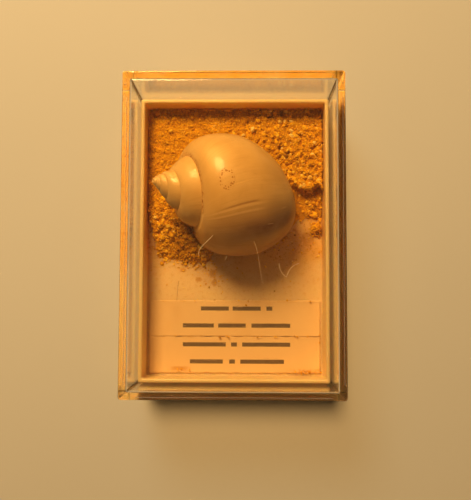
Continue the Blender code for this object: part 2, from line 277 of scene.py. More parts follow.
def slab(x, y, top, bottom):
    """A closed sheet between two heights over one grid: the top, the same grid below, and walls along the
    rim that join the two. Returns points and quads."""
    rows, columns = x.shape
    points = np.concatenate([np.stack([x, y, h + 0 * x], axis=-1).reshape(-1, 3) for h in (top, bottom)])
    index = np.arange(rows * columns).reshape(rows, columns)
    over = np.stack([index[:-1, :-1], index[:-1, 1:], index[1:, 1:], index[1:, :-1]], axis=-1).reshape(-1, 4)
    rim = np.concatenate([index[0, :-1], index[:-1, -1], index[-1, :0:-1], index[:0:-1, 0]])
    after = np.roll(rim, -1)
    below = rows * columns
    walls = np.stack([rim + below, after + below, after, rim], axis=-1)
    return points, np.concatenate([over, over[:, ::-1] + below, walls])


def strip(name, front, seed):
    """A strip that lies flat but for its corners, which lift by the fourth power of the way to each end,
    and for long low waves."""
    along, across = np.meshgrid(np.linspace(-1, 1, 141), np.linspace(-1, 1, 31))
    rng = np.random.default_rng(seed)
    ragged = sum(rng.normal(0, 0.018) * np.sin(along * k * 5 + rng.uniform(0, 6)) for k in range(1, 9))
    x = along * (STRIP_HALF_WIDTH + 0.02 * np.sin(across * 2.1 + seed))
    y = front + STRIP_DEPTH / 2 * (1 + across) + ragged * across
    lift = 0.16 * np.abs(along) ** 6 * np.abs(across) ** 3
    wave = 0.035 * (1 + np.sin(along * 4.4 + seed) * np.cos(across * 1.7 - seed))
    low = STRIP_LOW - 0.26 + lift + wave
    points, faces = slab(x, y, low + STRIP_THICK * 0.75, low)
    piece = piece_from(name, points, faces, paper)
    return piece


def paper_finish():
    """Fibrous cream paper with printed bars, ochre rubbed in by the joint and in two smudges in front."""
    finish, place = new_finish("label paper")
    x, y, z = parts_of(place)
    fibre = noise(place.node("Mapping", {}, {"Vector": place, "Scale": (1.0, 2.2, 1.0)}), 0.35, 4.0, 0.7)
    mottle = noise(place, 3.5, 3.0)
    colour = blend(fade(fibre, 0.3, 0.8) * 0.4 + mottle * 0.35, PAPER_PALE, PAPER_SHADE)
    joint = fade(abs(y + 19.7), 0.45, 0.1) * fade(noise(place, 1.6, 4.0, 0.7), 0.42, 0.6)
    upper_edge = fade(abs(y + 12.35), 0.4, 0.1) * fade(noise(place, 1.3, 4.0, 0.7), 0.45, 0.65)
    left_smudge = fade(abs(x + 11.3), 2.4, 0.8) * fade(abs(y + 26.2), 0.6, 0.15)
    right_smudge = fade(x, 9.5, 15.0) * fade(abs(y + 26.75), 0.75, 0.2)
    crumbs = fade(noise(place, 0.45, 5.0, 0.7), 0.42, 0.62)
    soiled = left_smudge * 0.55 + right_smudge * crumbs * 0.9 + (joint + upper_edge) * 0.22
    colour = blend(soiled, colour, OCHRE_DUST)
    colour = blend(fade(noise(place, 5.0, 3.0), 0.5, 0.8) * 0.12, colour, OCHRE_DUST)
    bars = None
    for middle, left, right in BARS:
        inside = fade(abs(y - middle), BAR_HALF_HEIGHT + 0.05, BAR_HALF_HEIGHT - 0.05)
        inside = inside * fade(abs(x - (left + right) / 2), (right - left) / 2 + 0.05, (right - left) / 2 - 0.05)
        bars = inside if bars is None else bars.math("MAXIMUM", bars, inside)
    printed = bars * (0.7 + 0.35 * fibre)
    colour = blend(printed, colour, INK)
    return close_finish(finish, place, Base_Color=colour, Roughness=0.82 - 0.25 * printed,
                        Normal=relief(fibre, 0.03))


paper = paper_finish()
for seed, (node, front) in enumerate(STRIP_FRONTS.items()):
    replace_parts(strip(node.replace("label", "paper"), front, seed), node)

# Fossil shell
# A moon-snail-like shell grown as one coiled tube that widens by a constant factor each turn, and lies with
# its aperture down. Satin cream lime, with growth lines, one healed break, and sand grains in its sutures.
TURN = 2 * math.pi
GROWTH = 1.735
FIRST_TURN, LIP_TURN = -6.0, 0.056
SECTION_OUT, SECTION_ALONG, SECTION_RADIUS = 7.24, 19.90, 8.03
SECTION_OVAL = (-0.312, -0.176)
SECTION_CORNERS = (0.092, 0.088)
PILLAR_SWELL = 1.3
WALL = 1.1
HOLLOW_TURNS = 0.62
APEX = (-15.7, 9.45)
APEX_LEAN, APEX_LEAN_REACH = 1.2, 2.6
APEX_ROUND = 0.12
APEX_DRAWN_OUT, APEX_DRAWN_REACH = 0.35, 2.2
TUCK, TUCK_AT, TUCK_REACH, TUCK_FROM_TURN, TUCK_TURNS = 0.07, math.radians(115), math.radians(30), -0.2, 0.25
FULLER, FULLER_AT, FULLER_REACH, FULLER_AT_TURN, FULLER_TURNS = 0.03, math.radians(78), math.radians(22), -0.18, 0.1
SPIRE_FLATNESS, SPIRE_FROM_TURN, SPIRE_TURNS, SUTURE = 0.35, -0.75, 0.6, math.radians(-87)
WORN, WORN_AT, WORN_REACH = 0.45, 4.0, 1.3
AXIS_SWING, AXIS_DIP = math.radians(3.0), math.radians(21.7)
FLATTENING = 0.88
SHELL_LOWEST = 2.2
SHELL_AROUND = 120
ROWS_AT_TURNS = ([-6.0, -2.45, -1.45, -0.45, 0.056], [0, 100, 210, 440, 650])
LINE_SLANT, LINE_SLANT_REACH, SHOULDER = 0.09, math.radians(25), math.radians(-84)
SCAR_AT = -0.108
CREAM, BUFF, PALE = (0.76, 0.51, 0.17), (0.60, 0.36, 0.08), (0.86, 0.62, 0.26)
# The brown serves for stains and also for painted shade on the body whorl below the break.
BROWN_STAIN_AND_SHADE, STAIN_OCHRE = (0.29, 0.11, 0.020), (0.38, 0.14, 0.008)
SCRATCHES = (((9.0, 5.2), (10.1, 5.8)), ((6.35, 2.15), (7.7, 2.5)))


def rise(value):
    """0 below 0, 1 above 1, and an even S between."""
    held = np.clip(value, 0.0, 1.0)
    return held * held * (3 - 2 * held)


def section_radius(angles):
    """The tube's wall from its section's centre: a circle with a second and a third harmonic."""
    second = SECTION_OVAL[0] * np.cos(2 * angles) + SECTION_OVAL[1] * np.sin(2 * angles)
    third = SECTION_CORNERS[0] * np.cos(3 * angles) + SECTION_CORNERS[1] * np.sin(3 * angles)
    return SECTION_RADIUS * (1 + second + third)


def coil(turns, angles):
    """Skin of the coiled tube and the line of its section's centres. At each turn the section is scaled by
    the growth to that turn and swung round the axis. The skin swells to the pillar, is tucked in at the
    lip's foot and fuller at the base by bells of angle and turn, and on the spire loses a share of what
    it bulges past the cone through its sutures."""
    along = np.array([math.cos(AXIS_SWING) * math.cos(AXIS_DIP), math.sin(AXIS_SWING) * math.cos(AXIS_DIP),
                      -math.sin(AXIS_DIP)])
    front = np.array([math.sin(AXIS_SWING), -math.cos(AXIS_SWING), 0.0])
    down = np.cross(along, front)
    swing = (turns * TURN)[:, None, None]
    outward = np.cos(swing) * front + np.sin(swing) * down
    radius = section_radius(angles) + PILLAR_SWELL * np.clip(-np.cos(angles), 0, 1) ** 3
    last = rise((turns - TUCK_FROM_TURN) / TUCK_TURNS)[:, None]
    radius = radius * (1 - TUCK * last * np.exp(-((angles - TUCK_AT) / TUCK_REACH) ** 2))
    base = np.exp(-((turns - FULLER_AT_TURN) / FULLER_TURNS) ** 2)[:, None]
    radius = radius * (1 + FULLER * base * np.exp(-((angles - FULLER_AT) / FULLER_REACH) ** 2))
    closing = np.clip((turns - FIRST_TURN) / APEX_ROUND, 0.02, 1)[:, None]
    radius = radius * np.sqrt(1 - (1 - closing) ** 2)
    size = (GROWTH ** turns)[:, None]
    at_suture = section_radius(SUTURE)
    cone = (SECTION_OUT + at_suture * math.cos(SUTURE)) / (SECTION_ALONG + at_suture * math.sin(SUTURE))
    flatter = SPIRE_FLATNESS * rise((SPIRE_FROM_TURN - turns) / SPIRE_TURNS)[:, None]
    at_back = np.clip(outward[..., 1], 0, 1)

    def set_down(out, depth):
        out = out - flatter * np.clip(out - cone * depth, 0, None)
        out = out - WORN * at_back * np.exp(-((depth - WORN_AT) / WORN_REACH) ** 2) * (out > 0)
        drawn = depth - APEX_DRAWN_OUT * np.exp(-depth / APEX_DRAWN_REACH)
        points = out[..., None] * outward + drawn[..., None] * along
        points[..., 2] *= FLATTENING
        points[..., 1] += APEX_LEAN * np.exp(-(depth / APEX_LEAN_REACH) ** 2)
        return points

    skin = set_down((SECTION_OUT + radius * np.cos(angles)) * size, (SECTION_ALONG + radius * np.sin(angles)) * size)
    return skin, set_down(SECTION_OUT * size, SECTION_ALONG * size)


def growth_line(turns, angles):
    """Which growth line a point lies on, as the turn at which that line leaves the suture: the lines lag
    behind by a share that closes in exponentially from the shoulder to the base."""
    past = np.clip(angles - SHOULDER, 0, None)
    return turns + LINE_SLANT * (1 - np.exp(-past / LINE_SLANT_REACH))


def growth_relief(turns, angles):
    """Height of the growth lines in millimetres: 36 sine waves of random pitch along the growth, each of
    which wavers a little round the section, and a crease with a raised edge for the healed break, which
    is deepest on the top of the whorl and is followed by a second, fainter one."""
    rng = np.random.default_rng(41)
    line = growth_line(turns, angles)
    height = np.zeros_like(line)
    for pitch in rng.uniform(30, 120, 36):
        waver = 0.35 * np.sin(angles * rng.integers(1, 4) + rng.uniform(0, TURN))
        height += rng.uniform(0.3, 1.0) / 36 ** 0.5 * np.sin(line * pitch * TURN + waver + rng.uniform(0, TURN))
    height *= 0.006
    deepest = np.exp(-((angles + 0.5) / 0.55) ** 2)
    crease = (line - SCAR_AT) / 0.0045
    height += deepest * (0.007 * np.exp(-(crease - 1.5) ** 2) - 0.015 * np.exp(-crease ** 2))
    second = (line - SCAR_AT - 0.014) / 0.0045
    height += deepest * (0.004 * np.exp(-(second - 1.4) ** 2) - 0.005 * np.exp(-second ** 2))
    return height * np.clip(GROWTH ** turns * 1.2, 0.1, 1)


def shell_skin():
    """One closed skin like a long bag: outside from the apex to the lip, over the half-round lip, then back
    inside, a wall's thickness below the outer skin, to where the hollow closes."""
    angles = -np.pi + np.arange(SHELL_AROUND) * TURN / SHELL_AROUND
    rows = np.arange(ROWS_AT_TURNS[1][-1] + 1)
    turns = np.interp(rows, ROWS_AT_TURNS[1], ROWS_AT_TURNS[0])
    skin, centres = coil(turns, angles)
    forward = np.gradient(skin, turns, axis=0)
    round_section = np.roll(skin, -1, axis=1) - np.roll(skin, 1, axis=1)
    outward = np.cross(round_section, forward)
    outward /= np.linalg.norm(outward, axis=2, keepdims=True)
    outward *= np.sign(np.sum(outward * (skin - centres), axis=2).sum())
    ahead = np.cross(round_section[-1], outward[-1])
    ahead /= np.linalg.norm(ahead, axis=1, keepdims=True)
    ahead *= np.sign(np.sum(ahead * forward[-1]))
    bend = np.linspace(0, np.pi, 9)[1:-1, None, None]
    lip = skin[-1] - WALL * (1 - np.cos(bend)) / 2 * outward[-1] + WALL / 2 * np.sin(bend) * ahead
    hollow = np.flatnonzero(turns > LIP_TURN - HOLLOW_TURNS)[::-4]
    closing = np.sqrt(1 - np.linspace(0, 0.998, len(hollow))[:, None, None] ** 6)
    inside = centres[hollow] + (skin[hollow] - WALL * outward[hollow] - centres[hollow]) * closing
    height = growth_relief(turns[:, None], angles[None, :])
    raised = skin + outward * height[..., None]
    bag = np.concatenate([raised, lip, inside])
    at_turn = np.concatenate([turns, np.full(len(lip), LIP_TURN), turns[hollow]])
    lowest = np.concatenate([skin, lip, inside])[..., 2].min()
    return bag + np.array([*APEX, SHELL_LOWEST - lowest]), at_turn, angles, outward


def shell_finish():
    """Satin lime with colour bands and fine ribs along the growth lines, worn pale on the spire, brown below the
    break as stain and painted shade on the side turned from the lamp, with painted highlight on the break's raised
    ridges, and ochre in the sutures and in an oval ring of stuck specks."""
    finish, place = new_finish("fossil shell")
    x, y, z = parts_of(place)
    grown = place.node("UVMap", {"uv_map": "growth"})
    line, turned, _ = parts_of(grown)
    angle = turned * 360.0

    def streaks(lines_per_turn, drift, detail=2.0):
        """Noise drawn out along the growth lines."""
        flat = place.node("CombineXYZ", {}, {0: line * lines_per_turn, 1: turned * drift, 2: 0.0})
        return place.node("TexNoise", {}, {"Vector": flat, "Scale": 1.0, "Detail": detail, "Roughness": 0.6})

    broad, middling, fine = streaks(13, 1.5), streaks(62, 2.2, 3.0), streaks(210, 4.0, 3.0)
    cloud = noise(place, 4.5, 4.0, 0.55)
    pores = noise(place, 0.35, 4.0, 0.7)
    colour = blend(fade(broad * 0.4 + cloud * 0.6, 0.36, 0.70) * 0.55, CREAM, BUFF)
    colour = blend(fade(middling, 0.45, 0.75) * 0.18, colour, PALE)
    colour = blend(fade(fine, 0.45, 0.70) * 0.34, colour, BUFF)
    colour = blend(fade(x, -5.0, -13.0) * 0.5, colour, PALE)
    # Brown over the periphery of the last tenth of a turn: partly stain, partly painted shade where the body whorl
    # turns away from the lamp.
    colour = blend(fade(line, -0.125, -0.06) * fade(abs(angle), 100, 60) * 0.35, colour, BROWN_STAIN_AND_SHADE)
    # The band below the break: brown stain with painted shade, on the front of the body whorl that faces away from
    # the lamp.
    band = fade(abs(line + 0.036), 0.040, 0.004) * fade(abs(angle - 22), 78, 30)
    band = band * (0.55 + 0.45 * fade(cloud + middling * 0.5, 0.55, 0.9))
    colour = blend(band * 0.88, colour, BROWN_STAIN_AND_SHADE)
    on_crease = fade(abs(angle + 34), 50, 22)
    scar = fade(abs(line - SCAR_AT), 0.0038, 0.0006) * fade(abs(angle + 32), 34, 14)
    # Pale lines on the raised ridges of the break and of the fainter crease after it: painted highlight.
    healed = (fade(abs(line - SCAR_AT - 0.0065), 0.005, 0.001) + fade(abs(line - SCAR_AT - 0.021), 0.005, 0.001))
    colour = blend(healed * on_crease * 0.45, colour, PALE)
    colour = blend(scar * 0.5, colour, BROWN_STAIN_AND_SHADE)
    blotch = fade(noise(place, 2.2, 5.0, 0.65), 0.6, 0.78)
    colour = blend(blotch * 0.2, colour, BROWN_STAIN_AND_SHADE)
    ring = (((x + 1.2) / 1.2) ** 2.0 + ((y - 10.1) / 1.7) ** 2.0) ** 0.5
    in_ring = fade(abs(ring - 1.0), 0.32, 0.18) * fade(z, 17.0, 18.0)
    dots = place.node("TexVoronoi", {}, {"Vector": place, "Scale": 2.4})
    stuck = fade(dots + noise(place, 0.9, 2.0) * 0.5, 0.70, 0.60) * in_ring
    suture = fade(abs(angle + 87.0), 6.5, 1.5)
    dirt = suture * fade(noise(place, 0.5, 4.0, 0.75), 0.46, 0.6) * fade(line, -0.60, -0.45)
    edge = fade(abs(angle + 83.5), 2.4, 0.8) * fade(line, -0.125, -0.105)
    colour = blend(edge * 0.8, colour, PALE)
    dirt = dirt * (1 - 0.8 * fade(line, -0.125, -0.105))
    for (from_x, from_y), (to_x, to_y) in SCRATCHES:
        along_x, along_y = to_x - from_x, to_y - from_y
        length = math.hypot(along_x, along_y)
        along_x, along_y = along_x / length, along_y / length
        way = (x - from_x) * along_x + (y - from_y) * along_y
        aside = (y - from_y) * along_x - (x - from_x) * along_y
        scratched = fade(abs(aside), 0.10, 0.03) * fade(abs(way - length / 2), length / 2, length / 2 - 0.3)
        colour = blend(scratched * fade(z, 11.0, 12.0) * 0.6, colour, PALE)
    colour = blend(stuck * 0.75, colour, STAIN_OCHRE)
    colour = blend(dirt * 0.9, colour, STAIN_OCHRE)
    rough = 0.42 + 0.14 * cloud + 0.3 * stuck + 0.25 * dirt + 0.1 * band
    halted = fade(abs(line + 0.162), 0.0030, 0.0006) + fade(abs(line + 0.149), 0.0024, 0.0006) * 0.6
    height = fine * 0.6 + middling * 0.35 + pores * 0.25 - scar * 0.3 - halted * fade(abs(angle), 75, 40) * 0.2
    return close_finish(finish, place, Base_Color=colour, Roughness=rough, IOR=1.45, Coat_Weight=0.3,
                        Coat_Roughness=0.08, Subsurface_Weight=0.08, Subsurface_Radius=(1.0, 0.7, 0.4),
                        Subsurface_Scale=0.001, Normal=relief(height, 0.042))


shell_bag, row_turns, row_angles, shell_outward = shell_skin()
shell_faces = ring_faces(*shell_bag.shape[:2])
shell = piece_from("fossil_shell", shell_bag, shell_faces, shell_finish())
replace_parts(shell, "shell")
corner_of = np.empty(len(shell.data.loops), np.int32)
shell.data.loops.foreach_get("vertex_index", corner_of)
corner_row, corner_column = corner_of // SHELL_AROUND, corner_of % SHELL_AROUND
face_columns = corner_column.reshape(-1, 4)
wraps = (face_columns.max(axis=1) - face_columns.min(axis=1) == SHELL_AROUND - 1)[:, None] & (face_columns == 0)
corner_angle = row_angles[corner_column] + TURN * wraps.ravel()
corner_line = growth_line(row_turns[corner_row], row_angles[corner_column])
shell_growth = shell.data.uv_layers.new(name="growth")
shell_growth.data.foreach_set("uv", np.stack([corner_line, corner_angle / TURN], axis=-1).astype(np.float32).ravel())

# Sand bed
# Loose coarse shelly sand, heaped to the back wall with a lobe reaching forward on the left and a ledge on
# the right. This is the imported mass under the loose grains, and it is dished where the shell lies.
SAND_DEPTH, SAND_FEATHER, SAND_RISE = 3.0, 0.5, 6.0
FALL_AT_BACK, FALL_FROM_BACK, FALL_AT_LEFT, FALL_FROM_LEFT = 0.8, 8.0, 1.6, 4.0
LOBE_FRONT, LOBE_SLANT, LOBE_NARROWING, LOBE_NARROWING_RUN = -4.7, 0.18, 2.1, 14.0
FRONT_STEPS = ((-6.5, 3.6, 4.0), (8.0, 6.0, 5.4))
LEDGE_Y, LEDGE_DROP = 10.2, 0.75
SAND_HALF_WIDTH, SAND_BACK = 17.9, 27.4
INSIDE_HALF_WIDTH, INSIDE_BACK = 18.2, 27.7
SAND_LOW = 1.8
SAND_DARK, SAND_OCHRE, SAND_GOLD = (0.18, 0.078, 0.002), (0.60, 0.31, 0.003), (0.90, 0.56, 0.005)
SAND_PALE, SAND_WHITE = (0.93, 0.69, 0.06), (0.94, 0.78, 0.30)


def rumple(x, y, pitch, seed, count=18):
    """Random relief, from about -1 to 1: the mean of plane waves with headings and phases drawn at random."""
    rng = np.random.default_rng(seed)
    total = np.zeros_like(x)
    for heading, phase, scale in zip(rng.uniform(0, np.pi, count), rng.uniform(0, TURN, count),
                                     rng.uniform(0.6, 1.6, count)):
        total += np.sin((x * np.cos(heading) + y * np.sin(heading)) * scale * TURN / pitch + phase)
    return total * (2 / count) ** 0.5 / 1.4


def sand_front(x):
    """The bed's front edge: a lobe on the left, slanting back to the wall, which draws back in two steps,
    each a start, a run and how far it draws back, under the shell and to the right of it."""
    slanting = LOBE_FRONT + LOBE_SLANT * np.clip(FRONT_STEPS[0][0] - x, 0, None)
    return slanting + sum(back * rise((x - start) / run) for start, run, back in FRONT_STEPS)


def lobe_narrows(x, y):
    """How far the left edge stands off the wall: more towards the front of the lobe."""
    across = (1 - x / SAND_HALF_WIDTH) / 2
    return LOBE_NARROWING * across ** 6 * (1 - rise((y - LOBE_FRONT) / LOBE_NARROWING_RUN))


def coarseness(x, y):
    """From 0, fine sand at the back on the left, to 1, coarse sand on the right and in the lobe."""
    where = np.maximum(rise((x + 3) / 9), rise((12 - y) / 7))
    return where * np.clip(0.8 + 0.5 * rumple(x, y, 3.4, 31), 0, 1)


def sand_top(x, y):
    """Height of the bed: feathered at its front edge, lower by the back and left walls, and thin below the
    ledge, with low waves, unevenness of two pitches, and a clump against the right wall."""
    risen = rise((y - sand_front(x)) / SAND_RISE)
    by_back = FALL_AT_BACK * rise(1 - (INSIDE_BACK - y) / FALL_FROM_BACK)
    by_left = FALL_AT_LEFT * rise(1 - (INSIDE_HALF_WIDTH + x) / FALL_FROM_LEFT)
    depth = SAND_FEATHER + (SAND_DEPTH - SAND_FEATHER) * risen - np.maximum(by_back, by_left) * risen
    ledge_at = LEDGE_Y + 0.15 + 0.45 * rumple(x, 0 * y, 3.4, 5)
    below_ledge = rise((x - 11) / 2.5) * (1 - rise((y - ledge_at) / 0.5))
    depth = depth * (1 - LEDGE_DROP * below_ledge)
    waves = np.sin(x / 1.9 + np.sin(y / 2.7)) * np.cos(y / 2.3)
    clump = 0.7 * rise((x - 14.6) / 1.6) * np.exp(-((y - 7.4) / 1.9) ** 2)
    pits = 0.6 * coarseness(x, y) * np.clip(rumple(x, y, 1.7, 21), 0, 1)
    uneven = (0.18 * waves + 0.16 * rumple(x, y, 2.4, 8) - pits) * risen * (1 - below_ledge)
    berm = 0.5 * rise((x - 11) / 2.5) * np.exp(-((y - ledge_at - 0.8) / 0.7) ** 2)
    above_floor = SAND_LOW - FLOOR_TOP + depth + uneven + berm + clump * (0.7 + 0.4 * rumple(x, y, 1.4, 9))
    return FLOOR_TOP + above_floor * (0.1 + 0.9 * rise((y - sand_front(x) + 0.1) / 1.3))


cell_count = (170, 140)
u, v = np.meshgrid(np.linspace(0, 1, cell_count[0]), np.linspace(0, 1, cell_count[1]))
bed_x = SAND_HALF_WIDTH * (2 * u - 1)
bed_y = sand_front(bed_x) + (SAND_BACK - sand_front(bed_x)) * v
bed_x = bed_x + lobe_narrows(bed_x, bed_y)
bed_y = bed_y + 0.35 * rumple(bed_x, bed_y, 1.8, 4) * (1 - rise(v * 8))

UNDER_CELL = 0.5
under_size = (90, 140)
flat_points = shell_bag.reshape(-1, 3)
cell_x = ((flat_points[:, 0] + 22.5) / UNDER_CELL).astype(int)
cell_y = ((flat_points[:, 1] + 35.0) / UNDER_CELL).astype(int)
under = np.full(under_size, 99.0)
np.minimum.at(under, (cell_x, cell_y), flat_points[:, 2])
for axis in (0, 1):
    under = np.minimum(under, np.minimum(np.roll(under, 1, axis), np.roll(under, -1, axis)))


def shell_under(x, y):
    """Lowest point of the shell above a place, read from a table of half-millimetre cells; 99 where none."""
    return under[((x + 22.5) / UNDER_CELL).astype(int), ((y + 35.0) / UNDER_CELL).astype(int)]


bed_top = sand_top(bed_x, bed_y) + 0.07 * rumple(bed_x, bed_y, 0.9, 11, 30)
bed_top = np.maximum(np.minimum(bed_top, shell_under(bed_x, bed_y) - 0.3), FLOOR_TOP + 0.06)


def sand_colour(place, tone):
    """Colour of sand by a tone from 0 to 1: brown, ochre, gold, and at last pale shell crumbs."""
    stops = [(0.0, SAND_DARK), (0.3, SAND_OCHRE), (0.72, SAND_GOLD), (0.9, SAND_PALE), (1.0, SAND_WHITE)]
    return place.node("ValToRGB", {"stops": [(at, (*colour, 1.0)) for at, colour in stops]}, {0: tone})


def bed_finish():
    """Matt ochre, clumped and speckled, darker than the loose grains: the sand's own colour with painted shade for
    the gaps between them.
    """
    finish, place = new_finish("ochre sand with painted gap shade")
    clumps, specks_in = noise(place, 2.0, 4.0, 0.6), noise(place, 0.3, 3.0, 0.7)
    # The bed's tone is set darker than the grains on top: painted shade for the gaps between the grains, over the
    # sand's own ochre.
    colour = sand_colour(place, clumps * 0.45 + specks_in * 0.4 - 0.10)
    return close_finish(finish, place, Base_Color=colour, Roughness=0.92, Specular_IOR_Level=0.15,
                        Normal=relief(specks_in + clumps * 0.5, 0.15))


bed_points, bed_faces = slab(bed_x, bed_y, bed_top, FLOOR_TOP + 0.01)
bed = piece_from("sand_mass", bed_points, bed_faces, bed_finish())
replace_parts(bed, "sand_bed")

# Sand grains
# The loose grains on top of the bed: rolled quartz and limestone of a third to two thirds of a millimetre,
# broken shell, and those that have wandered on to the floor and the paper.


def golden_corners():
    """The twelve corners and twenty faces of an icosahedron of radius 1."""
    g = (1 + 5 ** 0.5) / 2
    corners = np.array([(-1, g, 0), (1, g, 0), (-1, -g, 0), (1, -g, 0), (0, -1, g), (0, 1, g),
                        (0, -1, -g), (0, 1, -g), (g, 0, -1), (g, 0, 1), (-g, 0, -1), (-g, 0, 1)])
    faces = np.array([(0, 11, 5), (0, 5, 1), (0, 1, 7), (0, 7, 10), (0, 10, 11), (1, 5, 9), (5, 11, 4),
                      (11, 10, 2), (10, 7, 6), (7, 1, 8), (3, 9, 4), (3, 4, 2), (3, 2, 6), (3, 6, 8),
                      (3, 8, 9), (4, 9, 5), (2, 4, 11), (6, 2, 10), (8, 6, 7), (9, 8, 1)])
    return corners / np.linalg.norm(corners[0]), faces


def any_turn(rng, count):
    """Rotation matrices from random quaternions (w, x, y, z) of length 1."""
    q = rng.normal(size=(count, 4))
    w, x, y, z = (q / np.linalg.norm(q, axis=1, keepdims=True)).T
    return np.stack([1 - 2 * (y * y + z * z), 2 * (x * y - z * w), 2 * (x * z + y * w),
                     2 * (x * y + z * w), 1 - 2 * (x * x + z * z), 2 * (y * z - x * w),
                     2 * (x * z - y * w), 2 * (y * z + x * w), 1 - 2 * (x * x + y * y)], axis=-1).reshape(-1, 3, 3)


def grains(name, centres, sizes, tones, seed, thinnest=0.6, finish=None):
    """One knobbly stone at each centre, all in one mesh: an icosahedron whose corners are pushed in and out
    by up to a fifth, squeezed along its own axes, turned at random and scaled to its size."""
    rng = np.random.default_rng(seed)
    corners, faces = golden_corners()
    count = len(centres)
    knobs = corners * rng.uniform(0.78, 1.18, (count, 12, 1)) * rng.uniform(thinnest, 1.0, (count, 1, 3))
    turned = np.einsum("nki,nij->nkj", knobs, any_turn(rng, count))
    points = centres[:, None, :] + turned * (sizes / 2)[:, None, None]
    points[..., 2] = np.maximum(points[..., 2], FLOOR_TOP + 0.01)
    points[..., 0] = np.clip(points[..., 0], 0.02 - INSIDE_HALF_WIDTH, INSIDE_HALF_WIDTH - 0.02)
    points[..., 1] = np.clip(points[..., 1], 0.02 - INSIDE_BACK, INSIDE_BACK - 0.02)
    all_faces = (faces[None] + 12 * np.arange(count)[:, None, None]).reshape(-1, 3)
    piece = piece_from(name, points, all_faces, finish or grain_finish, smooth=False)
    tone = piece.data.attributes.new("tone", "FLOAT", "POINT")
    tone.data.foreach_set("value", np.repeat(tones, 12).astype(np.float32))
    return piece


def make_grain_finish():
    """Each grain has its own tone, with finer mottling over it and a slight gloss on the clear ones."""
    finish, place = new_finish("ochre sand grains")
    tone = place.node("Attribute", {"attribute_name": "tone"}, {}, "Fac")
    mottle = noise(place, 0.22, 3.0, 0.7)
    colour = sand_colour(place, tone + (mottle - 0.5) * 0.35)
    return close_finish(finish, place, Base_Color=colour, Roughness=0.85 - 0.35 * fade(tone, 0.75, 1.0),
                        Specular_IOR_Level=0.2, Normal=relief(mottle, 0.06))


grain_finish = make_grain_finish()
shell_tree = BVHTree.FromPolygons((shell_bag.reshape(-1, 3)[:, :]).tolist(), shell_faces.tolist())


def clear_of_shell(centres, sizes):
    """True where a grain stays outside the shell: its nearest skin is further off than half the grain, and
    the skin's outward side faces it."""
    sign = 1.0 if shell_volume > 0 else -1.0
    keep = []
    for centre, size in zip(centres, sizes):
        spot, normal, _, distance = shell_tree.find_nearest(Vector(centre))
        outside = sign * normal.dot(Vector(centre) - spot) > 0
        keep.append(outside and distance > 0.42 * size)
    return np.array(keep)


first, second, third, fourth = (shell_bag.reshape(-1, 3)[shell_faces[:, k]] for k in range(4))
shell_volume = np.sum(np.cross(first, second) * third) + np.sum(np.cross(first, third) * fourth)


def scatter(count, smallest, largest, seed, sink, in_coarse, in_fine):
    """Places over the bed, more small grains than large, sunk by a share of their size, and kept by one
    share where the sand is coarse and by another where it is fine; those that would be hidden under the
    shell or cut into it are left out."""
    rng = np.random.default_rng(seed)
    x = rng.uniform(-SAND_HALF_WIDTH - 0.1, SAND_HALF_WIDTH + 0.1, count)
    y = rng.uniform(LOBE_FRONT - 1.2, SAND_BACK + 0.15, count)
    sizes = smallest + (largest - smallest) * rng.uniform(0, 1, count) ** 1.8
    front = sand_front(x) + 0.35 * rumple(x, y, 1.8, 4)
    loose = rng.exponential(np.where(x < -5, 0.42, 0.28), count)
    inside = (y > front - loose) & (x > lobe_narrows(-SAND_HALF_WIDTH + 0 * y, y) - SAND_HALF_WIDTH - 0.2)
    film = rise((x - 11.0) / 1.5) * rise((10.6 - y) / 0.5) * (1 - rise((x - 14.6) / 1.2) * rise((y - 5.2) / 0.6))
    inside &= rng.uniform(0, 1, count) > 0.82 * film
    inside &= rng.uniform(0, 1, count) < in_fine + (in_coarse - in_fine) * coarseness(x, y)
    over = sand_top(x, np.maximum(y, front + 0.05)) + 0.07 * rumple(x, y, 0.9, 11, 30)
    z = np.where(y > front, over, FLOOR_TOP + sizes * 0.4) + sizes * rng.uniform(-0.3, 0.25, count) - sink
    seen = (shell_under(x, y) > z + 0.9)
    chosen = inside & seen
    centres, sizes = np.stack([x, y, z], axis=-1)[chosen], sizes[chosen]
    free = clear_of_shell(centres, sizes)
    return centres[free], sizes[free]


def tones_for(centres, seed, middle, spread, pale_share):
    """Tone of each grain: clumps of like colour, a spread of its own, which is wider where the sand is
    coarse, and a share of pale ones, most of them there too."""
    rng = np.random.default_rng(seed)
    x, y = centres[:, 0], centres[:, 1]
    coarse = coarseness(x, y)
    tone = middle + 0.10 * rumple(x, y, 6.0, seed) + rng.normal(0, spread, len(x)) * (0.6 + 0.5 * coarse)
    pale = rng.uniform(0, 1, len(x)) < pale_share * (0.3 + 0.7 * coarse)
    return np.clip(np.where(pale, rng.uniform(0.85, 1.0, len(centres)), tone), 0.02, 1.0)


for name, count, smallest, largest, seed, sink, in_coarse, in_fine, middle, spread, pale_share in (
        ("grains_fine_1", 12500, 0.24, 0.48, 101, 0.0, 0.55, 1.0, 0.66, 0.14, 0.03),
        ("grains_fine_2", 12500, 0.24, 0.48, 102, 0.05, 0.55, 1.0, 0.62, 0.14, 0.03),
        ("grains_middling", 7500, 0.45, 0.90, 103, 0.1, 0.9, 0.45, 0.55, 0.18, 0.08),
        ("grains_coarse", 1500, 0.8, 1.6, 104, 0.2, 1.0, 0.12, 0.60, 0.20, 0.16)):
    centres, sizes = scatter(count, smallest, largest, seed, sink, in_coarse, in_fine)
    grains(name, centres, sizes, tones_for(centres, seed, middle, spread, pale_share), seed)

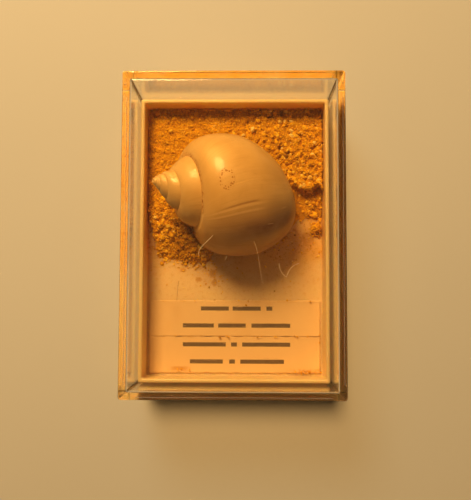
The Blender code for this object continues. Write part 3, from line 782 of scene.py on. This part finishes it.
stray_rng = np.random.default_rng(77)
STRAY_PATCHES = [(-8.5, -5.2, 3.4, 0.8, 70), (-4.0, -6.5, 1.2, 1.4, 46), (-6.0, -8.0, 1.6, 1.0, 22),
                 (11.5, -0.5, 1.8, 2.2, 60), (9.0, -4.0, 3.0, 2.4, 22), (15.0, -1.5, 1.8, 1.8, 20),
                 (17.1, 2.7, 0.70, 0.80, 90), (14.0, 5.6, 1.5, 1.2, 40),
                 (0.0, -8.5, 5.0, 2.5, 16), (15.0, -26.9, 1.9, 0.25, 46), (-11.2, -26.4, 1.6, 0.3, 26),
                 (0.0, -19.68, 9.0, 0.10, 34), (-17.2, -2.0, 0.35, 7.0, 14), (17.3, -12.0, 0.3, 8.0, 14),
                 (-13.5, -12.0, 2.0, 3.0, 6), (4.0, -12.2, 9.0, 0.12, 24)]
stray = np.concatenate([np.stack([stray_rng.normal(x, dx, n), stray_rng.normal(y, dy, n)], axis=-1)
                        for x, y, dx, dy, n in STRAY_PATCHES])
stray = stray[(np.abs(stray[:, 0]) < 17.8) & (stray[:, 1] > -27.3)]
stray_sizes = 0.12 + 0.42 * stray_rng.uniform(0, 1, len(stray)) ** 2.2
on_paper = (stray[:, 1] < -12.25) & (np.abs(stray[:, 0]) < STRIP_HALF_WIDTH)
stray_z = np.where(on_paper, 1.98, FLOOR_TOP) + stray_sizes * 0.32
heap = 1.7 * np.exp(-((stray[:, 0] - 17.1) / 1.0) ** 2 - ((stray[:, 1] - 2.7) / 1.1) ** 2)
stray_z += heap * stray_rng.uniform(0, 1, len(stray)) ** 0.5
stray_centres = np.column_stack([stray, stray_z])
lump_rng = np.random.default_rng(55)
lump = lump_rng.normal((17.0, 2.75), (0.58, 0.66), (260, 2))
lump = lump[lump[:, 0] < 17.9]
lump_high = 1.5 * np.exp(-((lump[:, 0] - 17.1) / 1.0) ** 2 - ((lump[:, 1] - 2.75) / 1.05) ** 2)
lump_z = FLOOR_TOP + 0.12 + lump_high * lump_rng.uniform(0, 1, len(lump)) ** 0.4
lump_centres = np.column_stack([lump, lump_z])
lump_sizes = lump_rng.uniform(0.28, 0.62, len(lump))
grains("grains_lump", lump_centres, lump_sizes, tones_for(lump_centres, 56, 0.5, 0.16, 0.05), 57)
grains("grains_stray", stray_centres, stray_sizes, tones_for(stray_centres, 78, 0.5, 0.18, 0.05), 78)

suture_rng = np.random.default_rng(12)
suture_turns = suture_rng.uniform(-0.43, 0.0, 70)
suture_skin, _ = coil(suture_turns, np.radians(suture_rng.normal(-87.0, 0.8, 1)))
suture_places = suture_skin[:, 0] + np.array([*APEX, 0]) + np.array([0, 0, 1]) * (
    SHELL_LOWEST - coil(np.interp(np.arange(651), ROWS_AT_TURNS[1], ROWS_AT_TURNS[0]), row_angles)[0][..., 2].min())
suture_places[:, 0] += suture_rng.normal(-0.02, 0.07, 70)
suture_sizes = suture_rng.uniform(0.08, 0.24, 70)
grains("grains_in_suture", suture_places, suture_sizes, np.clip(suture_rng.normal(0.45, 0.1, 70), 0, 1), 13)

# Clear lid
# The cover, moulded in clear polystyrene, stands on the edge of the floor plate and reaches over the tray's
# walls. Its faces are polished, with hairline scuffs on top, and its thick edges carry the light.
LID_WALL, LID_TOP_THICK, LID_HIGH = 1.2, 1.4, 22.0
lid_profile = eased(
    [(CAP_INSET, LID_HIGH - LID_TOP_THICK), (LID_WALL, LID_HIGH - LID_TOP_THICK), (LID_WALL, STRIP_LOW),
     (0, STRIP_LOW), (0, LID_HIGH), (CAP_INSET, LID_HIGH)],
    [0.45, 0.1, 0.1, 0.3])


def lid_finish():
    """Clear plastic that bends what is seen through it, and lets lamplight and soft light pass straight."""
    finish, place = new_finish("clear polished plastic")
    scuffs = place.node("Mapping", {}, {"Vector": place, "Rotation": (0, 0, 0.9), "Scale": (0.08, 2.4, 1.0)})
    scuffed = fade(noise(scuffs, 0.5, 3.0, 0.75), 0.64, 0.76)
    clouded = noise(place, 6.0, 3.0)
    clear = place.node("BsdfPrincipled", {}, {
        "Base Color": (0.99, 0.97, 0.93, 1.0), "Roughness": 0.015 + 0.10 * scuffed * fade(clouded, 0.45, 0.7),
        "IOR": 1.59, "Transmission Weight": 1.0, "Normal": relief(scuffed, 0.002)})
    straight = place.node("BsdfTransparent", {}, {"Color": (0.97, 0.95, 0.91, 1.0)})
    soft = place.node("LightPath", {}, {}, "Is Diffuse Ray")
    lamp = place.node("LightPath", {}, {}, "Is Shadow Ray")
    seen = place.node("MixShader", {}, {0: soft, 1: clear, 2: straight})
    lit = place.node("MixShader", {}, {0: lamp, 1: seen, 2: straight})
    place.node("OutputMaterial", {}, {"Surface": lit})
    return finish


lid_rings = carried_round(lid_profile, BOX_HALF, BOX_CORNER)
cover = piece_from("lid_moulding", lid_rings, ring_faces(*lid_rings.shape[:2]), lid_finish())
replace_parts(cover, "lid")

# Lint and hairs
# A few pale fibres that lie on the lid, and one dark hair on the tray's floor, each a thin tube.
HAIR_HALF = 0.032
ON_LID = LID_HIGH + HAIR_HALF
LINT_PATHS = {
    "lint_left": [(-3.69, -0.47), (-4.62, -1.51), (-5.86, -2.87), (-6.05, -4.20)],
    "lint_middle": [(3.77, -1.49), (4.39, -3.67), (4.81, -5.53), (5.13, -8.21), (5.54, -9.14)],
    "lint_right_down": [(8.33, -5.52), (8.63, -6.96), (9.65, -8.0)],
    "lint_right_up": [(9.65, -8.0), (10.48, -6.34), (11.94, -5.51)],
    "lint_short": [(-1.09, -4.19), (-1.24, -4.6), (-1.39, -4.93)],
    "hair_on_floor": [(-11.67, -8.12), (-11.90, -10.2), (-11.99, -11.94), (-11.98, -12.54)],
}

THICKNESS = {"lint_left": 1.25, "lint_middle": 0.55, "hair_on_floor": 0.8}


def tube(path, half, around=8):
    """Rings along a path: the path is a cubic fit of its points, and each ring is a circle square to it
    that shrinks to a point at both ends by the fourth root of the way left."""
    path = np.array(path)
    way = np.linspace(0, 1, len(path))
    along = np.linspace(0, 1, 26)
    degree = min(3, len(path) - 1)
    line = np.stack([np.polyval(np.polyfit(way, path[:, k], degree), along) for k in range(3)], axis=-1)
    ahead = np.gradient(line, axis=0)
    ahead /= np.linalg.norm(ahead, axis=1, keepdims=True)
    side = np.cross(ahead, [0, 0, 1])
    side /= np.linalg.norm(side, axis=1, keepdims=True)
    up = np.cross(side, ahead)
    turn = np.arange(around) * TURN / around
    width = half * np.clip(4 * along * (1 - along) * 6, 0.05, 1) ** 0.25
    return line[:, None] + width[:, None, None] * (
        np.cos(turn)[None, :, None] * side[:, None] + np.sin(turn)[None, :, None] * up[:, None])


def fibre_finish(name, colour, deep):
    """Matt fibre, lighter and darker along its length."""
    finish, place = new_finish(name)
    tint = blend(fade(noise(place, 0.8, 3.0), 0.35, 0.65), colour, deep)
    return close_finish(finish, place, Base_Color=tint, Roughness=0.55, Sheen_Weight=0.4)


pale_fibre = fibre_finish("pale lint", (0.95, 0.90, 0.76), (0.85, 0.76, 0.58))
dark_hair = fibre_finish("brown hair", (0.12, 0.07, 0.035), (0.28, 0.18, 0.09))
for name, path in LINT_PATHS.items():
    on_floor = name == "hair_on_floor"
    height = FLOOR_TOP + HAIR_HALF if on_floor else ON_LID
    rings = tube([(x, y, height) for x, y in path], HAIR_HALF * THICKNESS.get(name, 1.0))
    piece_from(name, rings, ring_faces(*rings.shape[:2]), dark_hair if on_floor else pale_fibre)

# Floor, light and viewing angle
# The box stands on a plain pale floor. One warm lamp high behind it to the left and soft light all round;
# the camera looks almost straight down, as in the photograph.
FLOOR_PALE = (0.62, 0.68, 0.76)
FLOOR_HALF = 0.35
floor_material, floor_place = new_finish("pale floor")
floor_tint = blend(noise(floor_place, 60.0, 3.0), FLOOR_PALE, tuple(c * 0.94 for c in FLOOR_PALE))
close_finish(floor_material, floor_place, Base_Color=floor_tint, Roughness=0.8)
floor_mesh = bpy.data.meshes.new("studio_floor")
floor_mesh.from_pydata([(-FLOOR_HALF, -FLOOR_HALF, 0), (FLOOR_HALF, -FLOOR_HALF, 0),
                        (FLOOR_HALF, FLOOR_HALF, 0), (-FLOOR_HALF, FLOOR_HALF, 0)], [], [(0, 1, 2, 3)])
floor_mesh.materials.append(floor_material)
studio_floor = bpy.data.objects.new("studio_floor", floor_mesh)
studio_floor.location.z = -0.00005
bpy.context.scene.collection.objects.link(studio_floor)


def lamp(name, towards, distance, size, power, colour):
    """A round soft box at a distance from the shell, in the direction given, turned to face it."""
    light = bpy.data.lights.new(name, "AREA")
    light.shape = "DISK"
    light.size = size
    light.energy = power
    light.color = colour
    holder = bpy.data.objects.new(name, light)
    direction = Vector(towards).normalized()
    holder.location = Vector((0, 0, 0.01)) + direction * distance
    holder.rotation_euler = direction.to_track_quat("Z", "Y").to_euler()
    bpy.context.scene.collection.objects.link(holder)


lamp("key light", (-0.26, 0.62, 0.74), 0.45, 0.19, 2.35, (1.0, 0.61, 0.25))
lamp("soft light", (0.48, -0.48, 0.73), 0.9, 0.6, 0.50, (1.0, 0.50, 0.14))
surroundings = bpy.data.worlds.new("soft surroundings")
surroundings.use_nodes = True
surroundings.node_tree.nodes.clear()
air = Wire(surroundings.node_tree, None)
seen_in = air.node("LightPath", output="Is Camera Ray") + air.node("LightPath", output="Is Transmission Ray")
glow = air.node("Background", {}, {"Color": (1.0, 0.68, 0.38, 1.0), "Strength": 0.035 + 0.4 * seen_in})
air.node("OutputWorld", {}, {"Surface": glow})
bpy.context.scene.world = surroundings

eye = bpy.data.cameras.new("viewing angle")
eye.sensor_fit = "AUTO"
eye.sensor_width = 36.0
eye.lens = 50.4
eye.clip_start = 0.005
eye_holder = bpy.data.objects.new("viewing angle", eye)
turned = Matrix.Rotation(0.0161, 4, "Y") @ Matrix.Rotation(0.0716, 4, "X") @ Matrix.Rotation(0.0034, 4, "Z")
eye_holder.matrix_world = Matrix.Translation(Vector((2.486, -12.17, 147.886)) * MM) @ turned
bpy.context.scene.collection.objects.link(eye_holder)
bpy.context.scene.camera = eye_holder

bpy.context.scene.view_settings.view_transform = "Standard"
bpy.context.scene.view_settings.look = "Medium High Contrast"
bpy.context.view_layer.update()
